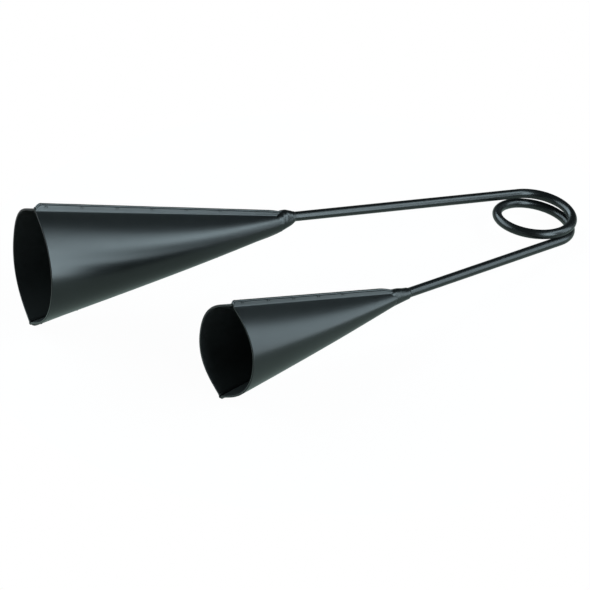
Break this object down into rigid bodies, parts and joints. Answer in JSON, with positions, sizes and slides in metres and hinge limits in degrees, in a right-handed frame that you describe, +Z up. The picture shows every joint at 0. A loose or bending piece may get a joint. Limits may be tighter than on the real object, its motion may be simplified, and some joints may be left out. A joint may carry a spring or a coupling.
{
  "type": "agogo bell",
  "caption": "Double agogo bell: a large and a small black steel cone bell on one bent rod, whose sprung loop lets the hand squeeze the bells together.",
  "frame": {"origin": "middle of the bounding box, on the table that the instrument lies on", "axes": "+X along the handle from the bells to the spring loop, +Z up from the table"},
  "size_m": [0.353, 0.18, 0.0834],
  "materials": {
    "rod": "satin",
    "shell": "satin",
    "weld": "satin"
  },
  "bodies": {
    "large_bell_side": {"large_bell_front_shell": "shell", "large_bell_rear_shell": "shell", "large_bell_seam_welds": "weld", "large_bell_neck_weld": "weld", "large_bell_arm": "rod", "spring_loop": "rod"},
    "small_bell_side": {"small_bell_front_shell": "shell", "small_bell_rear_shell": "shell", "small_bell_seam_welds": "weld", "small_bell_neck_weld": "weld", "small_bell_arm": "rod"}
  },
  "joints": [
    {"name": "squeeze", "type": "hinge", "parent": "large_bell_side", "child": "small_bell_side", "pos_m": [0.14963, -0.00754, 0.01015], "axis": [-0.117, 0.0355, -0.9925], "range_deg": [0, 13.5], "stiffness_Nm_per_rad": 34.5, "deforming": ["spring_loop"]}
  ]
}
